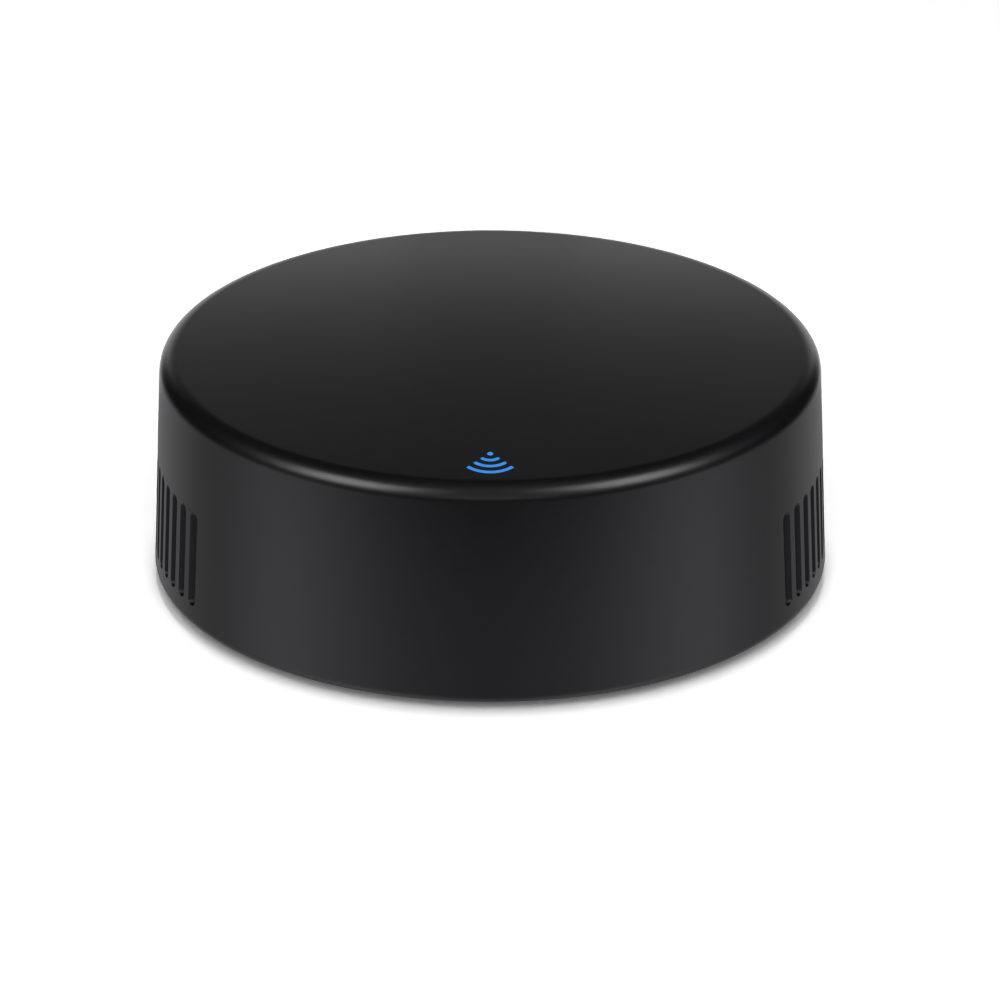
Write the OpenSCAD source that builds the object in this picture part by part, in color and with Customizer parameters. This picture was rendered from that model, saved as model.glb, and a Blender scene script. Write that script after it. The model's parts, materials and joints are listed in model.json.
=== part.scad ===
// Round infrared blaster hub: a drafted black shell over a screwed base cover, with
// a lit signal mark in its top, air slots in both sides, and a populated round board.
// Millimetres, +Z up, origin under the middle on the surface that the feet stand on.
// The lit mark looks towards -Y, and the power socket and reset button towards +Y.

/* [Shell] */
// Diameter of the shell at the foot of its wall
body_d = 66; // [64:0.5:74]
// Height of the shell from its lower edge to its flat top
case_h = 22.3; // [21.5:0.1:26]
// How much the wall's radius shrinks from its foot to its top
wall_draft = 0.75; // [0.3:0.05:1]
// Thickness of the side wall
wall_t = 1.8; // [1.5:0.05:2]
// Thickness of the top
top_t = 1.8; // [1.4:0.05:2.2]
// Radius of the rounded upper edge
top_round = 1.75; // [1:0.05:2.2]
// Radius of the rounded lower edge
edge_round = 1.3; // [0.5:0.05:1.4]
// Radius inside, where the wall meets the top
inner_round = 0.5; // [0.2:0.05:0.55]

/* [Air slots] */
// Slots in each side of the wall
slot_count = 16; // [8:2:16]
// Width of a slot
slot_w = 1.25; // [0.8:0.05:1.4]
// Length of a slot over its round ends
slot_l = 9.8; // [6:0.1:11]
// Distance between the middles of two slots
slot_pitch = 2.12; // [1.8:0.02:2.14]
// Height of the slots' lower ends over the shell's lower edge
slot_rise = 2.4; // [2.4:0.1:3.6]

/* [Signal mark] */
// Distance of the mark's dot from the edge of the flat top
mark_inset = 6; // [5.8:0.05:6.6]
// Width of the dot
dot_d = 0.56; // [0.4:0.02:0.8]
// Arcs in the mark
arc_count = 3; // [2:1:3]
// Radius of the smallest arc
arc_r = 1.05; // [0.95:0.01:1.12]
// Distance from one arc to the next
arc_step = 0.96; // [0.8:0.01:0.98]
// Width of the arcs' line
stroke_w = 0.4; // [0.25:0.01:0.46]
// Angle that an arc runs to on each side
arc_half_angle = 42; // [30:1:48]
// Length of the mark along the body, as a share of its true round form
mark_stretch_share = 1.42; // [1:0.01:1.5]
// Gap round the lit shapes in the top
mark_gap = 0.03; // [0.02:0.01:0.05]

/* [Light guide and shroud] */
// Width of the guide's plate and of the shroud
guide_w = 6; // [5.6:0.1:6.4]
// Depth of the guide's plate and of the shroud
guide_d = 6.2; // [6:0.1:6.3]
// Thickness of the guide's plate
guide_t = 0.8; // [0.5:0.05:1.2]
// Wall of the shroud
shroud_wall = 0.6; // [0.4:0.05:0.8]
// Gap round the guide and the shroud in their frame
guide_gap = 0.12; // [0.05:0.01:0.15]
// Wall of the frame under the top that holds them
guide_frame_t = 0.8; // [0.5:0.05:1]
// Height of that frame
guide_frame_h = 2.6; // [1.5:0.1:4]

/* [Base cover] */
// Thickness of the base plate
base_t = 1.6; // [1.3:0.05:1.9]
// Gap between the base cover and the shell's wall
base_gap = 0.12; // [0.05:0.01:0.2]
// Height of the rim on the base plate
rim_h = 0.7; // [0.3:0.05:0.8]
// Width of that rim
rim_w = 1.2; // [0.8:0.05:1.4]
// Height of the screw posts over the base plate's underside
post_h = 3.4; // [3:0.1:3.8]
// Diameter of the screw posts
post_d = 6.6; // [6:0.1:6.8]

/* [Rubber feet] */
// Diameter of a foot
foot_d = 8; // [6:0.1:9]
// Height of a foot under the base
foot_lift = 0.8; // [0.5:0.05:1.2]
// Depth of a foot's seat in the base plate
foot_sink = 0.6; // [0.3:0.05:0.7]
// Gap round a foot in its seat
foot_gap = 0.1; // [0.05:0.01:0.2]
// Radius of a foot's lower edge
foot_round = 0.35; // [0.1:0.05:0.45]
// Distance from the base cover's edge to the middle of a foot
foot_inset = 7.2; // [6:0.1:8]

/* [Case screws] */
// Shank diameter
screw_d = 2.2; // [2:0.05:2.4]
// Length under the head
screw_l = 8; // [6:0.1:9]
// Head diameter
screw_head_d = 4; // [3.6:0.05:4.2]
// Head height
screw_head_h = 1.4; // [1.1:0.05:1.5]
// Depth of the head's seat in the base cover
screw_sink = 1.8; // [1.6:0.05:1.95]
// Gap between a shank and its pilot hole
thread_gap = 0.04; // [0.02:0.01:0.06]
// Gap between a shank and a plain hole, and round a head
screw_gap = 0.25; // [0.15:0.01:0.35]
// Diameter of the bosses that the screws turn into
boss_d = 5.4; // [5:0.1:5.6]
// Distance from the wall to the middle of a boss
boss_inset = 3.9; // [3.6:0.05:4.2]
// Depth of a boss's pilot hole past the screw's tip
pilot_past = 0.8; // [0.3:0.05:1.5]
// Thickness of the web from a boss to the wall
web_t = 1.2; // [0.8:0.05:1.4]

/* [Main board] */
// Thickness of the board
board_t = 1.2; // [1:0.05:1.6]
// Gap from the board's edge to the wall and the bosses
board_gap = 0.8; // [0.5:0.05:1]
// Height of the standoffs over the base plate
standoff_h = 3.6; // [3.2:0.1:4]
// Diameter of a standoff
standoff_d = 4.2; // [4:0.1:4.6]
// Distance of a standoff from the middle, side to side, as a share of the board's radius
standoff_x_share = 0.447; // [0.43:0.001:0.457]
// Distance of a standoff from the middle, front to back, as a share of the board's radius
standoff_y_share = 0.48; // [0.464:0.001:0.49]
// Shank diameter of a board screw
board_screw_d = 1.8; // [1.6:0.05:2]
// Length of a board screw under its head
board_screw_l = 4.6; // [4:0.1:4.8]
// Head diameter of a board screw
board_screw_head_d = 3.4; // [3:0.05:3.6]
// Head height of a board screw
board_screw_head_h = 1.1; // [0.8:0.05:1.3]

/* [Infrared emitters] */
// Diameter of an emitter's lens
led_d = 5; // [4.6:0.1:5.2]
// Diameter of its flange
led_flange_d = 5.8; // [5.4:0.1:6]
// Thickness of its flange
led_flange_t = 1; // [0.8:0.05:1.2]
// Length from its back to the tip of its dome
led_l = 8.7; // [8:0.1:8.8]
// Gap from the dome to the wall
led_setback = 0.9; // [0.5:0.05:1.2]
// Width of a lead
lead_w = 0.5; // [0.4:0.02:0.56]
// Distance between the two leads
lead_pitch = 2.54; // [2.4:0.02:2.6]
// Length of a lead behind the emitter, before it turns down
lead_run = 1.5; // [1:0.1:1.6]
// Length of the leads and pins under the board
lead_tail = 1; // [0.6:0.05:1.4]
// Gap round a lead in the board
lead_gap = 0.12; // [0.08:0.01:0.15]

/* [Infrared receiver] */
// Width of the receiver
receiver_w = 5.8; // [5.4:0.1:6]
// Depth of its block
receiver_d = 3; // [2.6:0.1:3.2]
// Height of its block
receiver_h = 6.8; // [6:0.1:7.4]
// Diameter of the lens on its face
receiver_lens_d = 4; // [3:0.1:4.4]
// Height of its block over the board
receiver_lift = 1.2; // [0.6:0.1:1.6]
// Distance from the wall to the receiver's face
receiver_inset = 5.5; // [4.6:0.1:6]

/* [Power socket] */
// Width over the socket's shell
usb_w = 8.94; // [8.8:0.02:9.1]
// Height over the socket's shell
usb_h = 3.16; // [3.1:0.02:3.3]
// Length of the shell
usb_l = 7.3; // [6.8:0.1:7.4]
// Thickness of the shell
usb_wall = 0.3; // [0.2:0.02:0.34]
// Length of the insulator that closes the shell's back
usb_plug_l = 1.6; // [1.2:0.1:2]
// Width of the tongue
usb_tongue_w = 6.69; // [6.4:0.02:6.8]
// Thickness of the tongue
usb_tongue_t = 0.7; // [0.6:0.02:0.8]
// Distance from the tongue's end to the shell's mouth
usb_tongue_back = 0.8; // [0.5:0.05:1]
// Width of a contact on the tongue
contact_w = 0.35; // [0.2:0.01:0.5]
// Thickness of a contact
contact_t = 0.08; // [0.05:0.01:0.1]
// Contacts on each face of the tongue
contact_count = 3; // [2:1:4]
// Distance between two contacts
contact_pitch = 1.5; // [1.2:0.05:1.6]
// Distance from the mouth to the wall's outer face
usb_setback = 0.5; // [0.4:0.05:0.7]
// Gap round the shell in the wall
port_gap = 0.2; // [0.1:0.01:0.3]
// Width of the shallow recess round the port
port_rim = 0.8; // [0.5:0.05:1]
// Distance from the mouth to the floor of that recess
port_floor_back = 0.2; // [0.1:0.05:0.3]

/* [Reset button] */
// Distance of the button from the middle, from side to side
button_x = 9; // [8.8:0.05:9.4]
// Diameter of the button
button_d = 2.8; // [2.4:0.05:3]
// Gap round the button in its hole
button_gap = 0.1; // [0.08:0.01:0.15]
// How far the button travels
button_travel = 0.3; // [0.2:0.05:0.35]
// Distance from the wall's outer face to the button's face
button_setback = 0.2; // [0.1:0.05:0.3]
// Radius of the edge of the button's face
button_round = 0.25; // [0.1:0.05:0.4]
// Diameter of the button's flange
button_flange_d = 4.6; // [4.2:0.05:4.8]
// Thickness of the flange
button_flange_t = 0.8; // [0.6:0.05:0.9]
// Gap between the flange and its pad at rest
button_rest_gap = 0.05; // [0.02:0.01:0.08]
// Diameter of the recess round the button
button_recess_d = 5; // [4.6:0.1:5.2]
// Diameter of the pad inside the wall
button_pad_d = 5.4; // [5.2:0.1:5.6]
// Distance from the wall's outer face to the pad's inner end
button_pad_reach = 2.9; // [2.8:0.05:3.1]

/* [Reset switch] */
// Width of the switch
switch_w = 6; // [5.6:0.1:6.2]
// Depth of the switch body
switch_depth = 3.6; // [3.2:0.1:3.8]
// Height of the switch
switch_h = 6; // [5.8:0.1:6.4]
// Thickness of its front plate
switch_plate_t = 0.3; // [0.2:0.02:0.4]
// Diameter of its plunger
plunger_d = 2.4; // [2:0.05:2.6]
// Length of the plunger in front of the switch
plunger_out = 0.85; // [0.7:0.05:1]
// Length of the plunger in the switch
plunger_in = 1.2; // [0.8:0.05:1.4]
// Gap round the plunger
plunger_gap = 0.06; // [0.03:0.01:0.1]
// Distance between the switch's pins
switch_pin_pitch = 4.5; // [4:0.1:4.8]

/* [Board parts] */
// Length of the radio module's board
radio_l = 17.4; // [17:0.1:17.8]
// Width of the radio module's board
radio_w = 15; // [14:0.1:15]
// Thickness of the radio module's board
radio_t = 0.8; // [0.6:0.05:1]
// Length of the radio module's shield can
can_l = 11.6; // [11:0.1:12]
// Width of the shield can
can_w = 12.4; // [11.6:0.1:13]
// Height of the shield can
can_h = 2.2; // [1.8:0.1:2.6]
// Radius of the shield can's corners
can_round = 0.7; // [0.3:0.05:1]
// Diameter of the bulk capacitor
bulk_d = 6.3; // [5.8:0.1:6.4]
// Height of the bulk capacitor
bulk_h = 7.2; // [6:0.1:8]
// Height of the bulk capacitor's square seat
bulk_seat_h = 1; // [0.6:0.1:1.2]
// Length of the voltage regulator
regulator_l = 6.5; // [6:0.1:6.8]
// Width of the voltage regulator
regulator_w = 3.5; // [3.2:0.1:3.6]
// Height of the voltage regulator
regulator_h = 1.6; // [1.4:0.05:1.8]
// Length of a driver transistor
transistor_l = 2.9; // [2.7:0.05:3]
// Width of a driver transistor
transistor_w = 1.3; // [1.2:0.05:1.4]
// Height of a driver transistor
transistor_h = 1; // [0.9:0.05:1.1]
// Length of a chip part's foot
chip_foot_l = 0.7; // [0.5:0.05:0.9]
// Thickness of a chip part's foot
chip_foot_t = 0.2; // [0.1:0.02:0.3]
// Length of a chip resistor
resistor_l = 1.6; // [1.4:0.05:1.8]
// Width of a chip resistor
resistor_w = 0.8; // [0.7:0.05:0.9]
// Height of a chip resistor
resistor_h = 0.45; // [0.35:0.05:0.6]
// Distance from an emitter's axis to its resistor
resistor_side = 2.8; // [2.6:0.1:3]
// Length of a chip capacitor
chip_cap_l = 2; // [1.8:0.05:2.1]
// Width of a chip capacitor
chip_cap_w = 1.25; // [1.1:0.05:1.3]
// Height of a chip capacitor
chip_cap_h = 0.9; // [0.8:0.05:1]
// Length of the signal lamp on the board
lamp_l = 3; // [2.4:0.1:3.2]
// Width of the signal lamp
lamp_w = 1.6; // [1.2:0.1:2]
// Height of the signal lamp
lamp_h = 1.1; // [0.8:0.05:1.4]

/* [Hidden] */
$fn = 96;
foot_count = 4;
boss_count = 4;
led_count = 7;
// Eight places round the wall, of which the reset button takes one
led_places = 8;

// How far a cut runs past the faces that it opens
cut_over = 1;
// How far a rib reaches into the wall that carries it
rib_bite = 0.6;

body_r = body_d / 2;
draft = atan(wall_draft / (case_h - top_round - edge_round));
// Radius of the outer wall, carried on in a straight line, at a height over its lower edge
function wall_r(h) = body_r - tan(draft) * (h - edge_round);
// Radius of the inner wall at the same height
function inner_r(h) = wall_r(h) - wall_t / cos(draft);

// Heights over the surface that the feet stand on
case_z = foot_lift;
top_z = case_z + case_h;
ceiling_z = top_z - top_t;
plate_z = case_z + base_t;
post_z = case_z + post_h;
board_z = plate_z + standoff_h;
board_top = board_z + board_t;

flat_r = wall_r(case_h - top_round) - top_round / cos(draft);
base_r = inner_r(base_t + rim_h) - base_gap;
board_r = inner_r(board_top - case_z) - board_gap;
foot_at = base_r - foot_inset;
boss_at = inner_r(post_h) - boss_inset;
boss_angles = [for (i = [0:boss_count - 1]) (i + 1 / 2) * 360 / boss_count];

standoff_x = board_r * standoff_x_share;
standoff_y = board_r * standoff_y_share;

mark_y = mark_inset - flat_r;
mark_end = arc_r + (arc_count - 1) * arc_step + stroke_w / 2;
// The guide's plate is centred on the length of the whole mark
guide_y = mark_y - (mark_end * mark_stretch_share - dot_d / 2) / 2;

led_z = board_top + led_flange_d / 2;
led_tip = inner_r(led_z + led_flange_d / 2 - case_z) - led_setback;
led_back = led_tip - led_l;
lead_at = led_back - lead_run;
// The first place is left of the socket, and the last one, right of it, is the button's
led_angles = [for (i = [0:led_count - 1]) 90 + (i + 1 / 2) * 360 / led_places];

receiver_face = inner_r(board_top - case_z) - receiver_inset;
receiver_z = board_top + receiver_lift;

usb_z = board_top + usb_h / 2;
usb_mouth = wall_r(usb_z - case_z) - usb_setback;
usb_back = usb_mouth - usb_l;

button_z = board_top + switch_h / 2;
// The wall's outer face behind the button's middle
button_wall = sqrt(pow(wall_r(button_z - case_z), 2) - pow(button_x, 2));
button_face = button_wall - button_setback;
button_pad_y = button_wall - button_pad_reach;
flange_y = button_pad_y - button_rest_gap;
plunger_y = flange_y - button_flange_t;
switch_y = plunger_y - plunger_out;

// Places on the board, as shares of its radius
radio_place_shares = [-0.13, 0];
bulk_place_shares = [0.05, 0.46];
regulator_place_shares = [0.36, 0.02];
transistor_places_shares = [[-0.2, -0.4], [0, -0.4], [0.2, -0.4]];
chip_cap_places_shares = [[0.28, -0.17], [0.37, -0.17], [0.46, -0.17], [-0.14, 0.4], [-0.26, 0.4]];

module rounded_bar(w, h) {
    // A flat bar with half-round ends along its longer side
    r = min(w, h) / 2;
    square([w - (w > h ? 2 * r : 0), h - (h > w ? 2 * r : 0)], center = true);
    for (s = [-1, 1])
        translate(w > h ? [s * (w / 2 - r), 0] : [0, s * (h / 2 - r)])
            circle(r = r);
}

module rounded_plate(w, h, r) {
    square([w - 2 * r, h], center = true);
    square([w, h - 2 * r], center = true);
    for (x = [-1, 1])
        for (y = [-1, 1])
            translate([x * (w / 2 - r), y * (h / 2 - r)])
                circle(r = r);
}

module block_on(w, d, h, z) {
    translate([-w / 2, -d / 2, z])
        cube([w, d, h]);
}

module along_y(y) {
    // Turns what is drawn upwards so that it points to the back, from a given depth
    translate([0, y, 0])
        rotate([-90, 0, 0])
            children();
}

module shell_profile() {
    foot_c = wall_r(edge_round) - edge_round / cos(draft);
    top_c = wall_r(case_h - top_round) - top_round / cos(draft);
    polygon([
        [0, 0],
        [foot_c, 0],
        [foot_c + edge_round * cos(draft), edge_round + edge_round * sin(draft)],
        [top_c + top_round * cos(draft), case_h - top_round + top_round * sin(draft)],
        [top_c, case_h],
        [0, case_h]
    ]);
    translate([foot_c, edge_round])
        circle(r = edge_round);
    translate([top_c, case_h - top_round])
        circle(r = top_round);
}

module hollow_profile() {
    top = case_h - top_t;
    c = inner_r(top - inner_round) - inner_round / cos(draft);
    polygon([
        [0, -cut_over],
        [inner_r(-cut_over), -cut_over],
        [c + inner_round * cos(draft), top - inner_round + inner_round * sin(draft)],
        [c, top],
        [0, top]
    ]);
    translate([c, top - inner_round])
        circle(r = inner_round);
}

// Points of a line of even width along an arc that opens to the back, with round ends
function stroke_points(r, w, a, steps) = [
    for (i = [0:steps]) mark_point(r + w / 2, -a + 2 * a * i / steps),
    for (i = [1:steps - 1]) cap_point(r, w, a, 180 * i / steps),
    for (i = [0:steps]) mark_point(r - w / 2, a - 2 * a * i / steps),
    for (i = [1:steps - 1]) cap_point(r, w, -a, 180 + 180 * i / steps)
];
function mark_point(r, a) = [r * sin(a), -r * cos(a) * mark_stretch_share];
function cap_point(r, w, a, turn) = mark_point(r, a) + mark_point(w / 2, a + turn);

module signal_mark(grow) {
    // A dot and three arcs, the common sign for a radio signal
    steps = 10;
    translate([0, mark_y]) {
        polygon([for (i = [0:2 * steps - 1]) mark_point(dot_d / 2 + grow, 180 * i / steps)]);
        for (k = [0:arc_count - 1])
            polygon(stroke_points(arc_r + k * arc_step, stroke_w + 2 * grow, arc_half_angle, steps));
    }
}

module air_slots() {
    last_y = (slot_count - 1) / 2 * slot_pitch;
    from_x = sqrt(pow(inner_r(slot_rise + slot_l), 2) - pow(last_y + slot_w / 2, 2)) - cut_over;
    for (side = [0, 1])
        mirror([side, 0, 0])
            for (i = [0:slot_count - 1])
                translate([from_x, (i - (slot_count - 1) / 2) * slot_pitch, case_z + slot_rise + slot_l / 2])
                    rotate([90, 0, 90])
                        linear_extrude(height = body_r + cut_over - from_x)
                            rounded_bar(slot_w, slot_l);
}

module screw_boss() {
    translate([boss_at, 0, post_z])
        cylinder(d = boss_d, h = ceiling_z + top_t / 2 - post_z);
    translate([boss_at, -web_t / 2, post_z])
        cube([inner_r(case_h - top_t) - boss_at + rib_bite, web_t, ceiling_z + top_t / 2 - post_z]);
}

module top_cover() {
    color("#1a1b1e")
    difference() {
        union() {
            translate([0, 0, case_z])
                rotate_extrude()
                    difference() {
                        intersection() {
                            shell_profile();
                            square([body_r + cut_over, case_h + cut_over]);
                        }
                        hollow_profile();
                        // Keeps the profile on one side of its axis
                        translate([-body_r, -cut_over])
                            square([body_r, case_h + 2 * cut_over]);
                    }
            for (a = boss_angles)
                rotate([0, 0, a])
                    screw_boss();
            // The frame that holds the light guide and the shroud, grown into the wall at the front
            translate([0, guide_y - rib_bite / 2, 0])
                block_on(guide_w + 2 * (guide_gap + guide_frame_t),
                    guide_d + 2 * (guide_gap + guide_frame_t) + rib_bite,
                    guide_frame_h + top_t / 2, ceiling_z - guide_frame_h);
            // The pad that the button's flange stops against
            translate([button_x, 0, button_z])
                along_y(button_pad_y)
                    cylinder(d = button_pad_d, h = button_pad_reach / 2);
        }
        for (a = boss_angles)
            rotate([0, 0, a])
                translate([boss_at, 0, post_z - cut_over])
                    cylinder(d = screw_d + 2 * thread_gap, h = case_z + screw_sink + screw_l + pilot_past - post_z + cut_over);
        translate([0, guide_y, 0])
            block_on(guide_w + 2 * guide_gap, guide_d + 2 * guide_gap, guide_frame_h + cut_over,
                ceiling_z - guide_frame_h - cut_over);
        translate([0, 0, ceiling_z - cut_over])
            linear_extrude(height = top_t + 2 * cut_over)
                signal_mark(mark_gap);
        air_slots();
        // The port, and the shallow recess round it
        translate([0, 0, usb_z]) {
            along_y(usb_back)
                linear_extrude(height = usb_l + usb_setback + cut_over)
                    rounded_bar(usb_w + 2 * port_gap, usb_h + 2 * port_gap);
            along_y(usb_mouth - port_floor_back)
                linear_extrude(height = usb_setback + cut_over)
                    rounded_bar(usb_w + 2 * (port_gap + port_rim), usb_h + 2 * (port_gap + port_rim));
        }
        // The button's hole, and the recess round it
        translate([button_x, 0, button_z]) {
            along_y(button_pad_y - cut_over)
                cylinder(d = button_d + 2 * button_gap, h = button_pad_reach + 2 * cut_over);
            along_y(button_face - button_travel)
                cylinder(d = button_recess_d, h = button_travel + button_setback + 2 * cut_over);
        }
    }
}

module base_cover() {
    color("#232427")
    difference() {
        union() {
            translate([0, 0, case_z])
                cylinder(r = base_r, h = base_t);
            // The rim that centres the base in the shell
            translate([0, 0, case_z])
                rotate_extrude()
                    translate([base_r - rim_w, base_t / 2])
                        square([rim_w, base_t / 2 + rim_h]);
            for (a = boss_angles)
                rotate([0, 0, a])
                    translate([boss_at, 0, case_z + base_t / 2])
                        cylinder(d = post_d, h = post_h - base_t / 2);
            for (x = [-1, 1])
                for (y = [-1, 1])
                    translate([x * standoff_x, y * standoff_y, case_z + base_t / 2])
                        cylinder(d = standoff_d, h = base_t / 2 + standoff_h);
        }
        for (a = boss_angles)
            rotate([0, 0, a])
                translate([boss_at, 0, case_z - cut_over]) {
                    cylinder(d = screw_d + 2 * screw_gap, h = post_h + 2 * cut_over);
                    cylinder(d = screw_head_d + 2 * screw_gap, h = screw_sink + cut_over);
                }
        for (i = [0:foot_count - 1])
            rotate([0, 0, i * 360 / foot_count])
                translate([foot_at, 0, case_z - cut_over])
                    cylinder(d = foot_d + 2 * foot_gap, h = foot_sink + cut_over);
        for (x = [-1, 1])
            for (y = [-1, 1])
                translate([x * standoff_x, y * standoff_y, board_top - board_screw_l - pilot_past])
                    cylinder(d = board_screw_d + 2 * thread_gap, h = board_screw_l + pilot_past);
    }
}

module rubber_foot(i) {
    // A disc with a rounded lower edge
    color("#2b2b2c")
    rotate([0, 0, (i - 1) * 360 / foot_count])
        translate([foot_at, 0, 0])
            rotate_extrude() {
                translate([0, foot_round])
                    square([foot_d / 2, foot_lift + foot_sink - foot_round]);
                square([foot_d / 2 - foot_round, foot_lift + foot_sink]);
                translate([foot_d / 2 - foot_round, foot_round])
                    circle(r = foot_round);
            }
}

module pan_screw(d, l, head_d, head_h) {
    // Stands on its head's underside, which is at height zero, with the shank upwards
    tip = d / 2;
    slot = d / 4;
    difference() {
        union() {
            rotate_extrude()
                intersection() {
                    translate([0, -head_h])
                        square([head_d / 2, head_h]);
                    union() {
                        translate([0, -head_h / 2])
                            square([head_d / 2, head_h]);
                        translate([0, -head_h])
                            square([head_d / 2 - head_h / 2, head_h]);
                        translate([head_d / 2 - head_h / 2, -head_h / 2])
                            circle(r = head_h / 2);
                    }
                }
            translate([0, 0, -head_h / 2])
                cylinder(d = d, h = l - tip + head_h / 2);
            translate([0, 0, l - tip])
                cylinder(d1 = d, d2 = d / 2, h = tip);
        }
        // A cross recess
        for (a = [0, 90])
            rotate([0, 0, a])
                block_on(head_d / 2, slot, head_h / 2 + cut_over, -head_h - cut_over);
    }
}

module case_screws() {
    color("#8d8f93")
    for (a = boss_angles)
        rotate([0, 0, a])
            translate([boss_at, 0, case_z + screw_sink])
                pan_screw(screw_d, screw_l, screw_head_d, screw_head_h);
}

module board_screws() {
    color("#a3a5a8")
    for (x = [-1, 1])
        for (y = [-1, 1])
            translate([x * standoff_x, y * standoff_y, board_top])
                rotate([180, 0, 0])
                    pan_screw(board_screw_d, board_screw_l, board_screw_head_d, board_screw_head_h);
}

module light_guide() {
    color("#2f86e6") {
        translate([0, guide_y, 0])
            block_on(guide_w, guide_d, guide_t, ceiling_z - guide_t);
        translate([0, 0, ceiling_z - guide_t / 2])
            linear_extrude(height = guide_t / 2 + top_t)
                signal_mark(0);
    }
}

module light_shroud() {
    color("#151516")
    difference() {
        translate([0, guide_y, 0])
            block_on(guide_w, guide_d, ceiling_z - guide_t - board_top, board_top);
        translate([0, guide_y, 0])
            block_on(guide_w - 2 * shroud_wall, guide_d - 2 * shroud_wall,
                ceiling_z - guide_t - board_top + 2 * cut_over, board_top - cut_over);
    }
}

module lead_holes() {
    hole_d = lead_w * sqrt(2) + 2 * lead_gap;
    for (a = led_angles)
        rotate([0, 0, a])
            for (s = [-1, 1])
                translate([lead_at, s * lead_pitch / 2])
                    circle(d = hole_d);
    for (s = [-1, 0, 1])
        translate([receiver_face - receiver_d / 2, s * lead_pitch * 3 / 4])
            circle(d = hole_d);
    for (s = [-1, 1])
        translate([button_x + s * switch_pin_pitch / 2, switch_y - switch_plate_t - switch_depth / 2])
            circle(d = hole_d);
}

module main_board() {
    color("#1f5b3a")
    translate([0, 0, board_z])
        linear_extrude(height = board_t)
            difference() {
                circle(r = board_r);
                for (a = boss_angles)
                    rotate([0, 0, a])
                        translate([boss_at, 0]) {
                            circle(d = boss_d + 2 * board_gap);
                            translate([0, -boss_d / 2 - board_gap])
                                square([board_r, boss_d + 2 * board_gap]);
                        }
                for (x = [-1, 1])
                    for (y = [-1, 1])
                        translate([x * standoff_x, y * standoff_y])
                            circle(d = board_screw_d + 2 * screw_gap);
                lead_holes();
            }
}

module radio_module_board() {
    color("#15406b")
    translate([board_r * radio_place_shares[0], board_r * radio_place_shares[1], 0])
        block_on(radio_l, radio_w, radio_t, board_top);
}

module radio_shield_can() {
    color("#b9bcc0")
    translate([
        board_r * radio_place_shares[0] + (radio_l - can_l) / 2 - (radio_w - can_w) / 2,
        board_r * radio_place_shares[1],
        board_top + radio_t
    ])
        linear_extrude(height = can_h)
            rounded_plate(can_l, can_w, can_round);
}

module ir_led(i) {
    // A flange, a barrel and a dome, lying on the board and looking outwards
    color("#2c2440")
    rotate([0, 0, led_angles[i - 1]])
        translate([led_back, 0, led_z])
            rotate([0, 90, 0])
                rotate_extrude()
                    intersection() {
                        square([led_flange_d, led_l]);
                        union() {
                            square([led_flange_d / 2, led_flange_t]);
                            square([led_d / 2, led_l - led_d / 2]);
                            translate([0, led_l - led_d / 2])
                                circle(d = led_d);
                        }
                    }
}

module ir_led_leads(i) {
    color("#b8babd")
    rotate([0, 0, led_angles[i - 1]])
        for (s = [-1, 1])
            translate([0, s * lead_pitch / 2, 0]) {
                translate([lead_at - lead_w / 2, -lead_w / 2, led_z - lead_w / 2])
                    cube([led_back - lead_at + lead_w / 2, lead_w, lead_w]);
                translate([lead_at, 0, 0])
                    block_on(lead_w, lead_w, led_z + lead_w / 2 - board_z + lead_tail, board_z - lead_tail);
            }
}

module ir_receiver() {
    color("#1c1a22") {
        translate([receiver_face - receiver_d / 2, 0, 0])
            block_on(receiver_d, receiver_w, receiver_h, receiver_z);
        // The lens on its face
        intersection() {
            translate([receiver_face, 0, receiver_z + receiver_h / 2])
                sphere(d = receiver_lens_d);
            translate([receiver_face - receiver_d / 2, -receiver_w / 2, receiver_z])
                cube([receiver_d + receiver_lens_d, receiver_w, receiver_h]);
        }
    }
}

module ir_receiver_pins() {
    color("#b8babd")
    for (s = [-1, 0, 1])
        translate([receiver_face - receiver_d / 2, s * lead_pitch * 3 / 4, 0])
            block_on(lead_w, lead_w, receiver_z - board_z + lead_tail, board_z - lead_tail);
}

module signal_lamp() {
    color("#dfe6ef")
    translate([0, guide_y, 0])
        block_on(lamp_l, lamp_w, lamp_h, board_top);
}

module usb_shell() {
    color("#c3c5c8")
    translate([0, 0, usb_z])
        along_y(usb_back)
            linear_extrude(height = usb_l)
                difference() {
                    rounded_bar(usb_w, usb_h);
                    rounded_bar(usb_w - 2 * usb_wall, usb_h - 2 * usb_wall);
                }
}

module usb_tongue() {
    color("#17181a")
    translate([0, 0, usb_z]) {
        along_y(usb_back)
            linear_extrude(height = usb_plug_l)
                rounded_bar(usb_w - 2 * usb_wall, usb_h - 2 * usb_wall);
        along_y(usb_back + usb_plug_l / 2)
            linear_extrude(height = usb_l - usb_plug_l / 2 - usb_tongue_back)
                square([usb_tongue_w, usb_tongue_t], center = true);
    }
}

module usb_contacts() {
    color("#d9b45b")
    translate([0, usb_back + usb_plug_l, usb_z])
        for (side = [0, 1])
            mirror([0, 0, side])
                for (i = [0:contact_count - 1])
                    translate([(i - (contact_count - 1) / 2) * contact_pitch - contact_w / 2, 0, usb_tongue_t / 2])
                        cube([contact_w, usb_l - usb_plug_l - 2 * usb_tongue_back, contact_t]);
}

module reset_button() {
    color("#2a2b2e")
    translate([button_x, 0, button_z])
        along_y(plunger_y)
            rotate_extrude()
                intersection() {
                    square([button_flange_d, button_face - plunger_y]);
                    union() {
                        square([button_flange_d / 2, button_flange_t]);
                        square([button_d / 2, button_face - plunger_y - button_round]);
                        square([button_d / 2 - button_round, button_face - plunger_y]);
                        translate([button_d / 2 - button_round, button_face - plunger_y - button_round])
                            circle(r = button_round);
                    }
                }
}

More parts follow.
